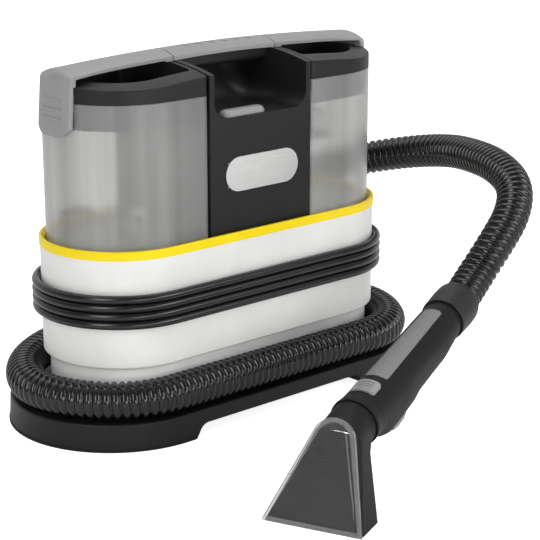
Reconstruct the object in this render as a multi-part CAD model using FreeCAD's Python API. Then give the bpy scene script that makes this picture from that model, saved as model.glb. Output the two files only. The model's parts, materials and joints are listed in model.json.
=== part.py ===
import FreeCAD, Part
import math
import os

from FreeCAD import Vector

# Spot extractor: a carried floor-standing machine with two lift-out water tanks, a mains lead wound round
# its body, a suction hose wound round its base and a hand wand that lies on the floor beside it.
# Millimetres. The origin is the middle of the rest face, +X runs along the long side to the dirty-water
# end, -Y is the front and +Z is up.

# ---- driving dimensions ----
# Rounded-end plan outlines: (half length along X, half width along Y).
TRAY_FOOT = (220.5, 102.5)
TRAY_RIM = (218.6, 100.6)
PLINTH = (178.5, 69.3)
BODY = (184.6, 75.5)
RING = (185.5, 76.4)
TANK = (178.8, 69.8)

# Heights of the seams between the stacked parts.
TRAY_TOP_Z = 25.5
PLINTH_TOP_Z = 66.4
BODY_TOP_Z = 167.2
RING_TOP_Z = 175.3
TANK_TOP_Z = 303.6
LID_BOTTOM_Z = 304.0

WALL = 2.8
FLOOR_GAP = 1.6
SCREW_HOLE = 1.7
ARCH_HEIGHT = 12.5
ARCH_HALF = 91.0
ARCH_FOOT_HALF = 115.0

# Crowned tops: the height at the centre, then the radius along X and the radius along Y.
LID_CROWN = (331.0, 1276.0, 292.0)
GRIP_CROWN = (338.6, 2386.0, 40.0)

COLUMN_HALF = (61.2, 69.6)
RECESS_HALF_X = 55.7
RECESS_FLOOR_Z = 280.5
RECESS_BACK_Y = 42.0
RECESS_CORNER = 15.0
LINER_WALL = 2.6
BUTTON_X = (-40.0, 10.0)
BUTTON_Y = -59.5
BUTTON_TOP_Z = 286.0
SWITCH_X = -18.0
TANK_INNER_X = 62.3
TANK_WALL = 2.4
TANK_FLOOR_Z = 167.6
LID_RIM_WIDTH = 18.5
WELL_FLOOR_Z = 291.0
SKIRT_BOTTOM_Z = 283.0
GRIP_HALF_WIDTH = 19.5
TONGUE_BOTTOM_Z = 274.0
TONGUE_FLARE = 0.08
SHOULDER = Vector(-171.5, 0, 322.5)
SHOULDER_RADIUS = 10.0
RIDGE_HALF_ANGLE = 10.5
EDGE_ROUNDING = 1.5

# Inside the machine: exhaust grille, tank valve, float, fan, pump, air riser and the dirty-water inlet.
GRILLE_X = -68.0
VALVE_X = -92.0
FLOAT_X = 128.0
FAN_X = 84.0
PUMP_X = -62.0
PUMP_Y = -18.0
PUMP_Z = 92.0
AIR_DUCT = (22.0, 52.0)
INLET_Z = 206.0
PLATE_THICKNESS = 2.4
DECK_OPENING = 38.0
DECK_THICKNESS = 2.8
COLUMN_SCREW = 50.0
TRAY_SCREW = (70.0, 56.0)
CORNER_FOOT = (160.0, 56.0)
CORNER_FOOT_RADIUS = 11.0
SCREW_DEPTH = 9.6

# Suction hose: outside radius, wrap outline round the base and the height of that wrap.
HOSE_RADIUS = 17.5
HOSE_WRAP = (204.5, 87.5)
HOSE_Z = 43.6
HOSE_EXIT_X = 42.0

# Mains lead: radius, coil outline, height of the first turn's centre, pitch and number of turns.
LEAD_RADIUS = 3.95
LEAD_WRAP = (189.1, 80.0)
LEAD_FIRST_Z = 109.2
LEAD_PITCH = 7.85
LEAD_TURNS = 4
LEAD_EXIT_X = 88.0
LEAD_EXIT_Z = 97.6

# Wand: its own frame has the front lip of the mouth near its origin and runs along +X, turned by
# WAND_HEADING about Z. The handle's axis starts at SLEEVE_START and rises by WAND_TILT.
WAND_ORIGIN = Vector(-162.0, -309.0, 0.0)
WAND_HEADING = 18.2
WAND_TILT = 13.0
SLEEVE_START = Vector(75.3, 0.0, 65.0)
SLEEVE_LENGTH = 181.0
COLLAR_START = 177.0
COLLAR_END = 214.0
LENGTHWISE = Vector(1, 0, 0)
ACROSS = Vector(0, 1, 0)
UP = Vector(0, 0, 1)
HANDLE_UP = Vector(-math.sin(math.radians(WAND_TILT)), 0, math.cos(math.radians(WAND_TILT)))
HANDLE_ALONG = Vector(math.cos(math.radians(WAND_TILT)), 0, math.sin(math.radians(WAND_TILT)))

# The handle's outside, station by station: distance along the axis, radius of its round top and sides,
# depth of its belly below the axis.
HANDLE_STATIONS = [
    (0.0, 22.0, 22.1),
    (3.0, 22.0, 22.2),
    (10.0, 20.9, 22.0),
    (22.0, 20.4, 26.0),
    (32.0, 20.2, 34.0),
    (42.0, 20.1, 38.0),
    (52.0, 20.0, 38.0),
    (84.0, 19.8, 36.0),
    (94.0, 19.7, 31.5),
    (120.0, 19.6, 30.0),
    (148.0, 19.6, 29.0),
    (166.0, 19.4, 22.0),
    (174.0, 19.0, 19.3),
    (SLEEVE_LENGTH, 18.8, 18.9),
]
DUCT_RADIUS = 15.2
DUCT_BORE = 15.4
HOSE_SOCKET = 17.9
SOCKET_BORE = 18.4
SOCKET_DEPTH = 18.0
NECK_RADIUS = 20.4
PLUG_RADIUS = 18.0
PLUG_LENGTH = 16.0
BUTTON_REACH = (17.0, 33.5)
BUTTON_HALF_WIDTH = 10.8
INLAY_REACH = (43.5, 161.5)
INLAY_HALF_WIDTHS = (10.4, 8.2)
TRIGGER_HINGE = Vector(57.0, 0, -31.0)
TRIGGER_WIDTH = 11.6

# Nozzle: the corners of the clear cover's foot, the middle of its arched top and the mouth's size.
COVER_FOOT_LEFT = Vector(-4.6, 41.5, 0.3)
COVER_FOOT_RIGHT = Vector(2.2, -45.2, 0.3)
COVER_TOP = Vector(36.5, -4.6, 78.6)
COVER_HALF_TOP = 18.0
COVER_THICKNESS = 3.4
COVER_RIM = 4.0
MOUTH_DEPTH = 38.0
WAIST_CENTRE = Vector(50.0, -3.0, 57.5)
WAIST_LEAN = math.radians(46)
NOZZLE_WALL = 2.6
SPRAY_START = Vector(54.3, -3.0, 31.2)

# The lead's end, off the top turn of the coil and through the clip to the plug.
LEAD_TAIL_ROUTE = [
    Vector(36, 80, 136.6),
    Vector(14, 81, 140),
    Vector(-8, 90, 151),
    Vector(-27, 97, 157),
    Vector(-46, 97, 157),
]

# The hose's free stretch, behind the machine, out to the right and forward to the wand.
HOSE_FREE_ROUTE = [
    Vector(-66, 97, 55),
    Vector(24, 109, 93),
    Vector(112, 113, 131),
    Vector(188, 99, 161),
    Vector(248, 66, 177),
    Vector(284, 14, 190),
    Vector(288, -42, 200),
    Vector(269, -93, 205),
    Vector(247, -143, 206),
    Vector(224, -186, 197),
    Vector(196, -207, 178),
    Vector(163, -214, 155),
    Vector(134, -212, 125),
]


# ---- helpers ----
def vertical_box(x0, x1, y0, y1, z0, z1):
    return Part.makeBox(x1 - x0, y1 - y0, z1 - z0, Vector(x0, y0, z0))


def inset(outline, distance):
    return (outline[0] - distance, outline[1] - distance)


def outline_wire(outline, z, centre_x=0.0):
    """Two straight sides joined by half circles, at height z."""
    half_x, half_y = outline
    straight = half_x - half_y
    left, right = centre_x - straight, centre_x + straight
    places = ((left, -half_y), (right, -half_y), (right, half_y), (left, half_y))
    corners = [Vector(x, y, z) for x, y in places]
    edges = [
        Part.LineSegment(corners[0], corners[1]).toShape(),
        Part.Arc(corners[1], Vector(right + half_y, 0, z), corners[2]).toShape(),
        Part.LineSegment(corners[2], corners[3]).toShape(),
        Part.Arc(corners[3], Vector(left - half_y, 0, z), corners[0]).toShape(),
    ]
    return Part.Wire(edges)


def block(outline, z0, z1, centre_x=0.0):
    return Part.Face(outline_wire(outline, z0, centre_x)).extrude(Vector(0, 0, z1 - z0))


def tapered_block(outline0, z0, outline1, z1):
    return Part.makeLoft([outline_wire(outline0, z0), outline_wire(outline1, z1)], True, True)


def band(outline, wall, z0, z1):
    return block(outline, z0, z1).cut(block(inset(outline, wall), z0, z1))


def rod(radius, start, end):
    direction = end - start
    return Part.makeCylinder(radius, direction.Length, start, direction)


def pipe(outer, inner, start, end):
    return rod(outer, start, end).cut(rod(inner, start, end))


def join(shapes):
    result = shapes[0]
    for shape in shapes[1:]:
        result = result.fuse(shape)
    return result.removeSplitter()


def round_edges(shape, radius, chosen):
    edges = [edge for edge in shape.Edges if chosen(edge)]
    return shape.makeFillet(radius, edges)


def on_outline_at(outline, z):
    """Chooses the edges of a rounded-end outline at height z."""
    def chosen(edge):
        level = abs(edge.BoundBox.ZMin - z) < 0.01 and abs(edge.BoundBox.ZMax - z) < 0.01
        return level and max(abs(vertex.Point.y) for vertex in edge.Vertexes) > outline[1] - 0.01
    return chosen


def runs_along(axis):
    def chosen(edge):
        ends = [vertex.Point for vertex in edge.Vertexes]
        if len(ends) != 2:
            return False
        direction = (ends[1] - ends[0]).normalize()
        return abs(abs(direction.dot(axis)) - 1.0) < 1e-6 and edge.Curve.TypeId == "Part::GeomLine"
    return chosen


def rounded_bar(x0, x1, y0, y1, z0, z1, radius, axis):
    return round_edges(vertical_box(x0, x1, y0, y1, z0, z1), radius, runs_along(axis))


def crown(shape_of_top, drop=0.0, depth=110.0):
    """Everything under a top that falls away along both X and Y."""
    apex, radius_x, radius_y = shape_of_top
    apex -= drop
    half = min(115.0, 0.95 * radius_y)
    edge_z = apex - radius_y + math.sqrt(radius_y ** 2 - half ** 2)
    low = edge_z - depth
    outline = [
        Part.LineSegment(Vector(0, -half, low), Vector(0, half, low)).toShape(),
        Part.LineSegment(Vector(0, half, low), Vector(0, half, edge_z)).toShape(),
        Part.Arc(Vector(0, half, edge_z), Vector(0, 0, apex), Vector(0, -half, edge_z)).toShape(),
        Part.LineSegment(Vector(0, -half, edge_z), Vector(0, -half, low)).toShape(),
    ]
    face = Part.Face(Part.Wire(outline))
    pivot = Vector(0, 0, apex - radius_x)
    reach = math.degrees(200.0 / radius_x)
    face.rotate(pivot, ACROSS, -reach)
    return face.revolve(pivot, ACROSS, 2 * reach)


def mirror_across_middle(shape):
    return shape.mirror(Vector(0, 0, 0), LENGTHWISE)


def rounded_route(points):
    """Straight runs joined by tangent arcs, each as large as its two runs allow."""
    edges = []
    radii = []
    start = points[0]
    for before, corner, after in zip(points, points[1:], points[2:]):
        incoming = corner - before
        outgoing = after - corner
        tangent = 0.45 * min(incoming.Length, outgoing.Length)
        incoming.normalize()
        outgoing.normalize()
        half_turn = incoming.getAngle(outgoing) / 2
        radius = tangent / math.tan(half_turn)
        inward = (outgoing - incoming).normalize()
        middle = corner + inward * (radius / math.cos(half_turn) - radius)
        arc_start = corner - incoming * tangent
        arc_end = corner + outgoing * tangent
        edges.append(Part.LineSegment(start, arc_start).toShape())
        edges.append(Part.Arc(arc_start, middle, arc_end).toShape())
        radii.append(radius)
        start = arc_end
    edges.append(Part.LineSegment(start, points[-1]).toShape())
    return Part.Wire(edges), radii


def swept_rod(points, radius):
    path, _ = rounded_route(points)
    section = Part.Wire(Part.Circle(points[0], points[1] - points[0], radius).toShape())
    return path.makePipeShell([section], True, False)


def cord_tube(name, points, radius):
    path, radii = rounded_route(points)
    tube = swept_rod(points, radius)
    ideal = math.pi * radius ** 2 * path.Length
    print(name, "length %.0f mm" % path.Length, "volume / ideal %.4f" % (tube.Volume / ideal))
    print(name, "arc radii", [round(value) for value in radii])
    return tube


def save(name, shape):
    shape = shape if shape.ShapeType == "Compound" and len(shape.Solids) > 1 else shape.Solids[0]
    if not shape.isValid():
        print("INVALID", name)
    shape.exportStep(os.path.join("parts", name + ".step"))


# ---- base ----
def base_tray():
    foot = block(TRAY_FOOT, 0.0, 2.0)
    wall = tapered_block(inset(TRAY_FOOT, 0.7), 2.0, TRAY_RIM, TRAY_TOP_Z)
    hollow = tapered_block(inset(TRAY_FOOT, 4.0), 0.0, inset(TRAY_RIM, 3.0), TRAY_TOP_Z - 3.0)
    tray = foot.fuse(wall).cut(hollow)
    tray = tray.cut(arch_cutter())
    for x, y in plate_screw_places():
        boss_bottom = ARCH_HEIGHT + PLATE_THICKNESS
        boss = pipe(5.0, SCREW_HOLE, Vector(x, y, boss_bottom), Vector(x, y, TRAY_TOP_Z - 2.0))
        tray = tray.fuse(boss)
    tray = tray.removeSplitter()
    return round_edges(tray, 2.0, lambda edge: edge.BoundBox.ZMin > TRAY_TOP_Z - 0.01)


def arch_cutter():
    """Raises the lower edge between the two end feet, front and back, with S-shaped ends."""
    middle = (ARCH_FOOT_HALF + ARCH_HALF) / 2
    low, high = -1.0, ARCH_HEIGHT
    half_rise = Vector(middle, 0, (low + high) / 2)
    ends = []
    for side in (-1, 1):
        foot_point = Vector(side * ARCH_FOOT_HALF, 0, low)
        turn_point = Vector(side * middle, 0, half_rise.z)
        top_point = Vector(side * ARCH_HALF, 0, high)
        lower = Part.Arc(foot_point, Vector(side * (ARCH_FOOT_HALF - 8.5), 0, low + 2.4), turn_point)
        upper = Part.Arc(turn_point, Vector(side * (ARCH_HALF + 8.5), 0, high - 2.4), top_point)
        ends.append([lower.toShape(), upper.toShape()])
    top = Part.LineSegment(Vector(-ARCH_HALF, 0, high), Vector(ARCH_HALF, 0, high)).toShape()
    bottom = Part.LineSegment(Vector(ARCH_FOOT_HALF, 0, low), Vector(-ARCH_FOOT_HALF, 0, low)).toShape()
    face = Part.Face(Part.Wire([*ends[0], top, *reversed(ends[1]), bottom]))
    face.translate(Vector(0, -120, 0))
    return face.extrude(Vector(0, 240, 0))


def four_corners(halves):
    return [(x, y) for x in (-halves[0], halves[0]) for y in (-halves[1], halves[1])]


def foot_places():
    return four_corners(CORNER_FOOT)


def plate_screw_places():
    return four_corners(TRAY_SCREW)


def floor_plate():
    """Closes the tray's underside: it follows the arch and carries a round foot in the middle."""
    inside = block(inset(TRAY_FOOT, 5.2), FLOOR_GAP, TRAY_TOP_Z - 4.0).cut(arch_cutter())
    above = inside.copy()
    above.translate(Vector(0, 0, PLATE_THICKNESS))
    centre_foot = rod(22.0, Vector(0, 0, FLOOR_GAP), Vector(0, 0, ARCH_HEIGHT + 0.5))
    plate = inside.cut(above).fuse(centre_foot).removeSplitter()
    for x, y in plate_screw_places():
        plate = plate.cut(rod(SCREW_HOLE, Vector(x, y, 0), Vector(x, y, TRAY_TOP_Z)))
    for x, y in foot_places():
        plate = plate.cut(rod(CORNER_FOOT_RADIUS + 0.1, Vector(x, y, 0), Vector(x, y, FLOOR_GAP + 0.8)))
    return plate


def rubber_feet():
    top = FLOOR_GAP + 0.8
    pads = [rod(CORNER_FOOT_RADIUS, Vector(x, y, 0.0), Vector(x, y, top)) for x, y in foot_places()]
    pads.append(rod(20.0, Vector(0, 0, 0), Vector(0, 0, FLOOR_GAP)))
    return Part.makeCompound(pads)


# ---- housings ----
def lower_housing():
    shell = band(PLINTH, WALL, TRAY_TOP_Z, PLINTH_TOP_Z)
    floor = block(inset(PLINTH, WALL - 0.1), TRAY_TOP_Z, TRAY_TOP_Z + 2.5)
    shell = shell.fuse(floor)
    inlet = rod(16.0, Vector(0, 40, HOSE_Z), Vector(0, 90, HOSE_Z))
    grille_opening = vertical_box(GRILLE_X - 32, GRILLE_X + 32, 60, 75, 36, 56)
    return shell.cut(inlet).cut(grille_opening).removeSplitter()


def upper_housing():
    shell = band(BODY, WALL, PLINTH_TOP_Z, BODY_TOP_Z)
    shelf = band(inset(BODY, WALL - 0.1), 8.0, PLINTH_TOP_Z, PLINTH_TOP_Z + 2.6)
    deck = block(inset(BODY, WALL - 0.1), BODY_TOP_Z - DECK_THICKNESS, BODY_TOP_Z)
    deck = deck.cut(rod(9.0, valve_spot(160), valve_spot(170)))
    deck = deck.cut(rod(10.0, Vector(*AIR_DUCT, 160), Vector(*AIR_DUCT, 170)))
    deck = deck.cut(vertical_box(-DECK_OPENING, DECK_OPENING, -DECK_OPENING, DECK_OPENING, 160, 170))
    for x, y in column_screw_places():
        deck = deck.cut(rod(SCREW_HOLE, Vector(x, y, 160), Vector(x, y, 170)))
    gland_x = LEAD_EXIT_X + 16
    gland_hole = rod(4.2, Vector(gland_x, 60, LEAD_EXIT_Z), Vector(gland_x, 90, LEAD_EXIT_Z))
    housing = join([shell, shelf, deck]).cut(gland_hole)
    return round_edges(housing, 2.0, on_outline_at(BODY, PLINTH_TOP_Z))


def accent_ring():
    outer = block(RING, BODY_TOP_Z, RING_TOP_Z)
    bore = block(inset(TANK, -0.9), BODY_TOP_Z, RING_TOP_Z)
    ring = outer.cut(bore)
    chamfer = Part.makeLoft([outline_wire(inset(TANK, -0.9), RING_TOP_Z - 3.0),
                             outline_wire(inset(TANK, -4.0), RING_TOP_Z)], True, True)
    return round_edges(ring.cut(chamfer), EDGE_ROUNDING, on_outline_at(RING, RING_TOP_Z))


def exhaust_grille():
    frame = vertical_box(GRILLE_X - 31.5, GRILLE_X + 31.5, 66.6, PLINTH[1], 36.5, 55.5)
    for index in range(9):
        x = GRILLE_X - 28.0 + index * 6.6
        frame = frame.cut(vertical_box(x, x + 4.0, 60, 75, 39, 53))
    return frame


# ---- centre column, hand recess and carrying grip ----
def recess_shape(grow):
    """The hand recess: open at the front and top, with a scooped back."""
    half_x = RECESS_HALF_X + grow
    tub = vertical_box(-half_x, half_x, -90, RECESS_BACK_Y + grow, RECESS_FLOOR_Z - grow, 360)
    back_bottom = [edge for edge in tub.Edges
                   if all(abs(v.Point.y - RECESS_BACK_Y - grow) < 0.01 for v in edge.Vertexes)
                   and all(abs(v.Point.z - RECESS_FLOOR_Z + grow) < 0.01 for v in edge.Vertexes)]
    tub = tub.makeFillet(38.0 + grow, back_bottom)
    side_bottom = [edge for edge in tub.Edges
                   if all(abs(abs(v.Point.x) - half_x) < 0.01 for v in edge.Vertexes)
                   and edge.BoundBox.ZMax < 330 and edge.BoundBox.XLength < 0.01]
    return tub.makeFillet(RECESS_CORNER + grow, side_bottom)


def button_seat(grow, z0, z1):
    half_depth = 7.5 + grow
    left, right = BUTTON_X[0] - grow, BUTTON_X[1] + grow
    front, back = BUTTON_Y - half_depth, BUTTON_Y + half_depth
    return rounded_bar(left, right, front, back, z0, z1, half_depth - 0.1, UP)


def centre_column():
    half_x, half_y = COLUMN_HALF
    outer = vertical_box(-half_x, half_x, -half_y, half_y, BODY_TOP_Z, 345)
    outer = outer.common(crown(LID_CROWN, depth=200.0))
    cavity = vertical_box(-half_x + 3, half_x - 3, -half_y + 3, half_y - 3, BODY_TOP_Z, 322)
    roof = vertical_box(-half_x, half_x, RECESS_BACK_Y, half_y, 300, 345).common(crown(LID_CROWN))
    roof = roof.cut(crown(LID_CROWN, drop=3.0))
    column = join([outer.cut(cavity), roof, column_flange()]).cut(recess_shape(LINER_WALL))
    seat_walls = button_seat(2.6, 268.4, 277.0).common(vertical_box(-60, 60, -half_y, 0, 200, 300))
    column = column.fuse(seat_walls).cut(button_seat(0.8, 271.0, 300.0))
    column = column.cut(rod(3.2, Vector(SWITCH_X, BUTTON_Y, 260), Vector(SWITCH_X, BUTTON_Y, 290)))
    column = column.cut(rod(13.6, Vector(40, 0, INLET_Z), Vector(80, 0, INLET_Z)))
    return column.cut(vertical_box(-40.6, 40.6, -80, -60, 216, 240)).removeSplitter()


def recess_liner():
    half_x, half_y = COLUMN_HALF
    outer = recess_shape(LINER_WALL).common(vertical_box(-half_x, half_x, -half_y, half_y, 200, 345))
    liner = outer.cut(recess_shape(0.0)).common(crown(LID_CROWN))
    liner = liner.cut(button_seat(0.8, 260.0, 300.0))
    return max(liner.Solids, key=lambda solid: solid.Volume)


def grip_bar(x0, x1, half_width):
    """A crowned bar resting on the crowned top of the lids and column."""
    bar = vertical_box(x0, x1, -half_width, half_width, 300, 345).common(crown(GRIP_CROWN))
    return bar.cut(crown(LID_CROWN, depth=60.0))


def carry_grip():
    grip = grip_bar(-COLUMN_HALF[0], COLUMN_HALF[0], GRIP_HALF_WIDTH)
    grip = round_edges(grip, EDGE_ROUNDING,
                       lambda edge: edge.BoundBox.XLength > 100 and edge.BoundBox.ZMin > 332)
    for index in range(6):
        x = -37.5 + index * 15.0
        groove = vertical_box(-1.3, 1.3, -9.0, 9.0, -1.0, 4.0)
        groove = round_edges(groove, 1.2, runs_along(UP))
        groove.rotate(Vector(0, 0, 0), UP, 38)
        groove.translate(Vector(x, 0, GRIP_CROWN[0] - 0.9))
        grip = grip.cut(groove)
    return grip


def grip_beam():
    beam = vertical_box(-RECESS_HALF_X, RECESS_HALF_X, -15.5, 15.5, 318, 345).common(crown(LID_CROWN))
    return round_edges(beam, 5.0, lambda edge: edge.BoundBox.ZMax < 318.1 and edge.BoundBox.XLength > 50)


def badge_plate():
    plate = rounded_bar(-44, 44, -71.2, -69.6, 212, 244, 15.9, ACROSS)
    backing = vertical_box(-40.4, 40.4, -69.6, -67.0, 216.2, 239.8)
    return plate.fuse(backing)


def power_button():
    cap = button_seat(0.0, 277.0, BUTTON_TOP_Z)
    cap = round_edges(cap, 5.0, lambda edge: edge.BoundBox.ZMin > BUTTON_TOP_Z - 0.1)
    return cap.fuse(rod(2.6, Vector(SWITCH_X, BUTTON_Y, 262.5), Vector(SWITCH_X, BUTTON_Y, 277.5)))


def power_switch():
    case = vertical_box(SWITCH_X - 11, SWITCH_X + 11, BUTTON_Y - 6, BUTTON_Y + 6, 240, 257)
    return case.fuse(rod(2.4, Vector(SWITCH_X, BUTTON_Y, 257), Vector(SWITCH_X, BUTTON_Y, 259.2)))


# ---- tanks, modelled on the left and mirrored for the right ----
def left_half(shape, inner_x):
    return shape.common(vertical_box(-300, -inner_x, -200, 200, 0, 400))


def upright_corner_at(distance):
    """Chooses the two long upright edges on the side facing the column."""
    def chosen(edge):
        bounds = edge.BoundBox
        return bounds.XMin > -distance - 0.01 and edge.Length > 100 and bounds.YLength < 0.01
    return chosen


def tank_shell():
    inner_wall_x = TANK_INNER_X + TANK_WALL
    outer = left_half(block(TANK, TANK_FLOOR_Z, TANK_TOP_Z), TANK_INNER_X)
    outer = round_edges(outer, 5.0, upright_corner_at(TANK_INNER_X))
    cavity = left_half(block(inset(TANK, TANK_WALL), TANK_FLOOR_Z + 3.2, TANK_TOP_Z + 1), inner_wall_x)
    cavity = round_edges(cavity, 2.6, upright_corner_at(inner_wall_x))
    return outer.cut(cavity)


def well_shape(grow):
    """The finger well in a lid, on both sides of the arm."""
    outline = left_half(block(inset(TANK, LID_RIM_WIDTH - grow), WELL_FLOOR_Z - grow, 360), 67.2 - grow)
    outline = outline.common(vertical_box(-154.0 - grow, 0, -100, 100, 0, 400))
    return round_edges(outline, 4.0, lambda edge: edge.Length > 40 and edge.BoundBox.YLength < 0.01
                       and edge.BoundBox.XLength < 0.01)


def tank_lid():
    rim = left_half(block(TANK, LID_BOTTOM_Z, 345), TANK_INNER_X).common(crown(LID_CROWN))
    rim = round_edges(rim, 5.0, lambda edge: edge.BoundBox.XMin > -TANK_INNER_X - 0.01
                      and edge.BoundBox.ZLength > 12 and edge.BoundBox.YLength < 0.01)
    under = left_half(block(inset(TANK, 5.0), LID_BOTTOM_Z - 1, 315), TANK_INNER_X + 5.0)
    tub = well_shape(2.2).common(vertical_box(-300, 0, -200, 200, 200, LID_BOTTOM_Z + 14))
    skirt_outline = inset(TANK, TANK_WALL + 0.4)
    skirt = band(skirt_outline, 2.0, SKIRT_BOTTOM_Z, LID_BOTTOM_Z + 2)
    skirt = left_half(skirt, TANK_INNER_X + TANK_WALL + 2.0)
    lid = join([rim.cut(under), tub, skirt]).cut(well_shape(0.0)).removeSplitter()
    return round_edges(lid, EDGE_ROUNDING, is_outer_top_edge)


def is_outer_top_edge(edge):
    bounds = edge.BoundBox
    outside = bounds.YMax > 60 or bounds.YMin < -60 or bounds.XMax > -TANK_INNER_X - 0.1
    return bounds.ZMin > 316 and outside


def arm_section(place, outward, half_width, crown_radius, thickness):
    """A slice across the arm: crowned outside, rounded at both edges, flat inside."""
    edge = EDGE_ROUNDING
    flat = half_width - edge
    fall = crown_radius - math.sqrt(crown_radius ** 2 - flat ** 2)
    diagonal = math.sqrt(0.5)

    def spot(side, depth):
        return place + ACROSS * side - outward * depth

    bevel_side, bevel_depth = flat + edge * diagonal, fall + edge * (1 - diagonal)
    return Part.Wire([
        Part.Arc(spot(-flat, fall), spot(0, 0), spot(flat, fall)).toShape(),
        Part.Arc(spot(flat, fall), spot(bevel_side, bevel_depth), spot(half_width, fall + edge)).toShape(),
        Part.LineSegment(spot(half_width, fall + edge), spot(half_width, thickness)).toShape(),
        Part.LineSegment(spot(half_width, thickness), spot(-half_width, thickness)).toShape(),
        Part.LineSegment(spot(-half_width, thickness), spot(-half_width, fall + edge)).toShape(),
        Part.Arc(spot(-half_width, fall + edge), spot(-bevel_side, bevel_depth), spot(-flat, fall)).toShape(),
    ])


def tongue_radius(z):
    """The tongue's outside, measured from the tank's rounded-end axis, flaring towards its tip."""
    return TANK[1] + 2.7 + TONGUE_FLARE * (SHOULDER.z - z)


def arm_sections():
    """Along the crowned top, round the shoulder and down the tongue."""
    apex, radius_x, radius_y = GRIP_CROWN
    sections = []
    for x in (-TANK_INNER_X, -90.0, -112.0, -130.0, -142.0, -153.0, -163.0):
        top = Vector(x, 0, apex - x ** 2 / (2 * radius_x))
        widening = 3.2 * (max(0.0, -x - 125.0) / 46.0) ** 2
        sections.append(arm_section(top, UP, GRIP_HALF_WIDTH + widening, radius_y, 10.0))
    steps = 9
    for step in range(steps + 1):
        share = step / steps
        angle = math.radians(94.0 + 86.0 * share)
        outward = Vector(math.cos(angle), 0, math.sin(angle))
        crown_radius = 46.0 + 26.5 * share
        sections.append(arm_section(SHOULDER + outward * SHOULDER_RADIUS, outward, 22.7 + 0.8 * share,
                                    crown_radius, SHOULDER_RADIUS - 1.0))
    axis_x = TANK[1] - TANK[0]
    for z in (300.0, TONGUE_BOTTOM_Z - 2.0):
        radius = tongue_radius(z)
        sections.append(arm_section(Vector(axis_x - radius, 0, z), Vector(-1, 0, 0), 23.5, radius, 9.0))
    return sections


def tongue_ridge(z):
    axis = Vector(TANK[1] - TANK[0], 0, 0)
    circle = Part.Circle(Vector(axis.x - tongue_radius(z), 0, z), ACROSS, 1.1)
    face = Part.Face(Part.Wire(circle.toShape()))
    face.rotate(axis, UP, -RIDGE_HALF_ANGLE)
    return face.revolve(axis, UP, 2 * RIDGE_HALF_ANGLE)


def lid_arm():
    """The crowned bar over the lid, bent down round its outer end into a pull tab with three ridges."""
    arm = Part.makeLoft(arm_sections(), True, True)
    arm = arm.common(rounded_bar(-200, 0, -26, 26, TONGUE_BOTTOM_Z, 360, 17.0, LENGTHWISE))
    around = block(inset(TANK, -0.6), 240, 345)
    arm = arm.cut(crown(LID_CROWN, depth=60.0).common(around))
    finger_gap = crown((LID_CROWN[0] + 0.4, GRIP_CROWN[1], LID_CROWN[2]), depth=60.0)
    arm = arm.cut(finger_gap.common(vertical_box(-172, -70, -30, 30, 290, 345)))
    round_end = Vector(TANK[1] - TANK[0], 0, TONGUE_BOTTOM_Z - 1.0)
    behind_tip = Part.makeCone(TANK[1] + 3.2, TANK[1] + 0.6, 36.0, round_end)
    arm = max(arm.cut(behind_tip).Solids, key=lambda piece: piece.Volume)
    return join([arm] + [tongue_ridge(z) for z in (306.0, 298.0, 290.0)])


def lid_gasket():
    outline = inset(TANK, TANK_WALL + 2.6)
    return left_half(band(outline, 2.4, LID_BOTTOM_Z - 24.0, SKIRT_BOTTOM_Z), TANK_INNER_X + TANK_WALL + 3.0)


# ---- fresh-water tank's outlet valve ----
def valve_spot(z):
    return Vector(VALVE_X, 0, z)


def fresh_tank():
    return tank_shell().cut(rod(7.0, valve_spot(160), valve_spot(180)))


def valve_cage():
    wall = pipe(11.0, 9.4, valve_spot(TANK_FLOOR_Z + 3.2), valve_spot(196))
    roof = pipe(11.0, 3.0, valve_spot(194.4), valve_spot(196))
    cage = wall.fuse(roof)
    for angle in (0, 60, 120):
        slot = vertical_box(-15, 15, -2.5, 2.5, 175, 189)
        slot.rotate(Vector(0, 0, 0), UP, angle)
        slot.translate(Vector(VALVE_X, 0, 0))
        cage = cage.cut(slot)
    return cage


def tank_valve():
    disc = rod(8.6, valve_spot(TANK_FLOOR_Z + 3.3), valve_spot(TANK_FLOOR_Z + 6.0))
    return disc.fuse(rod(2.4, valve_spot(165.5), valve_spot(190)))


def valve_spring():
    return pipe(5.2, 3.8, valve_spot(TANK_FLOOR_Z + 6.2), valve_spot(194.2))


def outlet_socket():
    cup = rod(8.4, valve_spot(150), valve_spot(BODY_TOP_Z - 0.2))
    cup = cup.cut(rod(5.6, valve_spot(153), valve_spot(170)))
    spout = rod(4.0, Vector(VALVE_X, 0, 143), Vector(VALVE_X, 0, 151))
    return cup.fuse(spout).cut(rod(2.4, Vector(VALVE_X, 0, 140), Vector(VALVE_X, 0, 155)))


# ---- dirty-water tank's inside ----
def dirt_tank():
    return mirror_across_middle(tank_shell()).cut(rod(12.0, Vector(55, 0, INLET_Z), Vector(70, 0, INLET_Z)))


def standpipe():
    """A box duct against the tank's inner wall that carries the dirty water up and lets it spill over."""
    near = TANK_INNER_X + TANK_WALL + 0.1
    outer = rounded_bar(near, near + 32, -26, 26, TANK_FLOOR_Z + 3.3, 276, 6.0, UP)
    inner = rounded_bar(near + 2, near + 30, -24, 24, TANK_FLOOR_Z + 5.3, 274, 4.0, UP)
    inlet = rod(12.0, Vector(near - 1, 0, INLET_Z), Vector(near + 10, 0, INLET_Z))
    outlet = vertical_box(near + 20, near + 40, -9, 9, 250, 270)
    return outer.cut(inner).cut(inlet).cut(outlet)


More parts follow.
